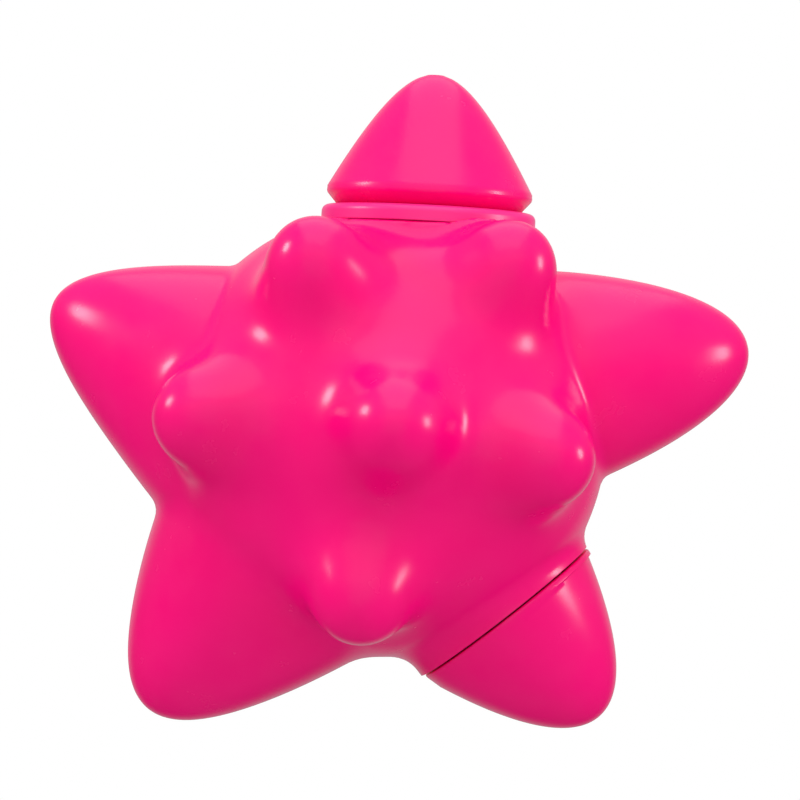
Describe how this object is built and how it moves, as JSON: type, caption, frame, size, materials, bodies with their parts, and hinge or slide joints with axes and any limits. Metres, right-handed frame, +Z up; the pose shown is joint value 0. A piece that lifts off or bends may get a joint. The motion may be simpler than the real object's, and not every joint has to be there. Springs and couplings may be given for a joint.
{
  "type": "hanging star pinata",
  "caption": "Hollow star with rounded arms and knobs, a lift-off lid arm with a rope hole, a bar to hang it by, and an arm that pulls off to let sweets fall.",
  "frame": {"origin": "middle of the hanging bar, on the lid's axis", "axes": "+Z up along the lid's axis, as the star hangs; +X to the right seen from the front; the front faces -Y"},
  "size_m": [0.3502, 0.2892, 0.3287],
  "materials": {
    "vinyl": "glossy soft moulded vinyl",
    "rigid_plastic": "satin moulded plastic",
    "steel": "zinc plated",
    "seal_rubber": "matt"
  },
  "bodies": {
    "body": {"body_shell": "vinyl", "fill_neck": "rigid_plastic", "hang_bar": "steel", "release_neck": "rigid_plastic"},
    "lid_ring": {"lid_seal": "seal_rubber"},
    "lid": {"top_lid": "vinyl", "lid_plug": "rigid_plastic", "rope_grommet": "rigid_plastic"},
    "release_ring": {"release_seal": "seal_rubber"},
    "release": {"release_arm": "vinyl", "release_plug": "rigid_plastic"}
  },
  "joints": [
    {"name": "lid_lift", "type": "slide", "parent": "body", "child": "lid_ring", "axis": [0, 0, 1], "range_m": [0, 0.07]},
    {"name": "lid_turn", "type": "hinge", "parent": "lid_ring", "child": "lid", "pos_m": [0, 0, 0.02], "axis": [0, 0, 1], "continuous": true},
    {"name": "release_pull", "type": "slide", "parent": "body", "child": "release_ring", "axis": [0.6561, 0, -0.7547], "range_m": [0, 0.07]},
    {"name": "release_turn", "type": "hinge", "parent": "release_ring", "child": "release", "pos_m": [0.04808, 0, -0.179], "axis": [0.6561, 0, -0.7547], "continuous": true}
  ]
}
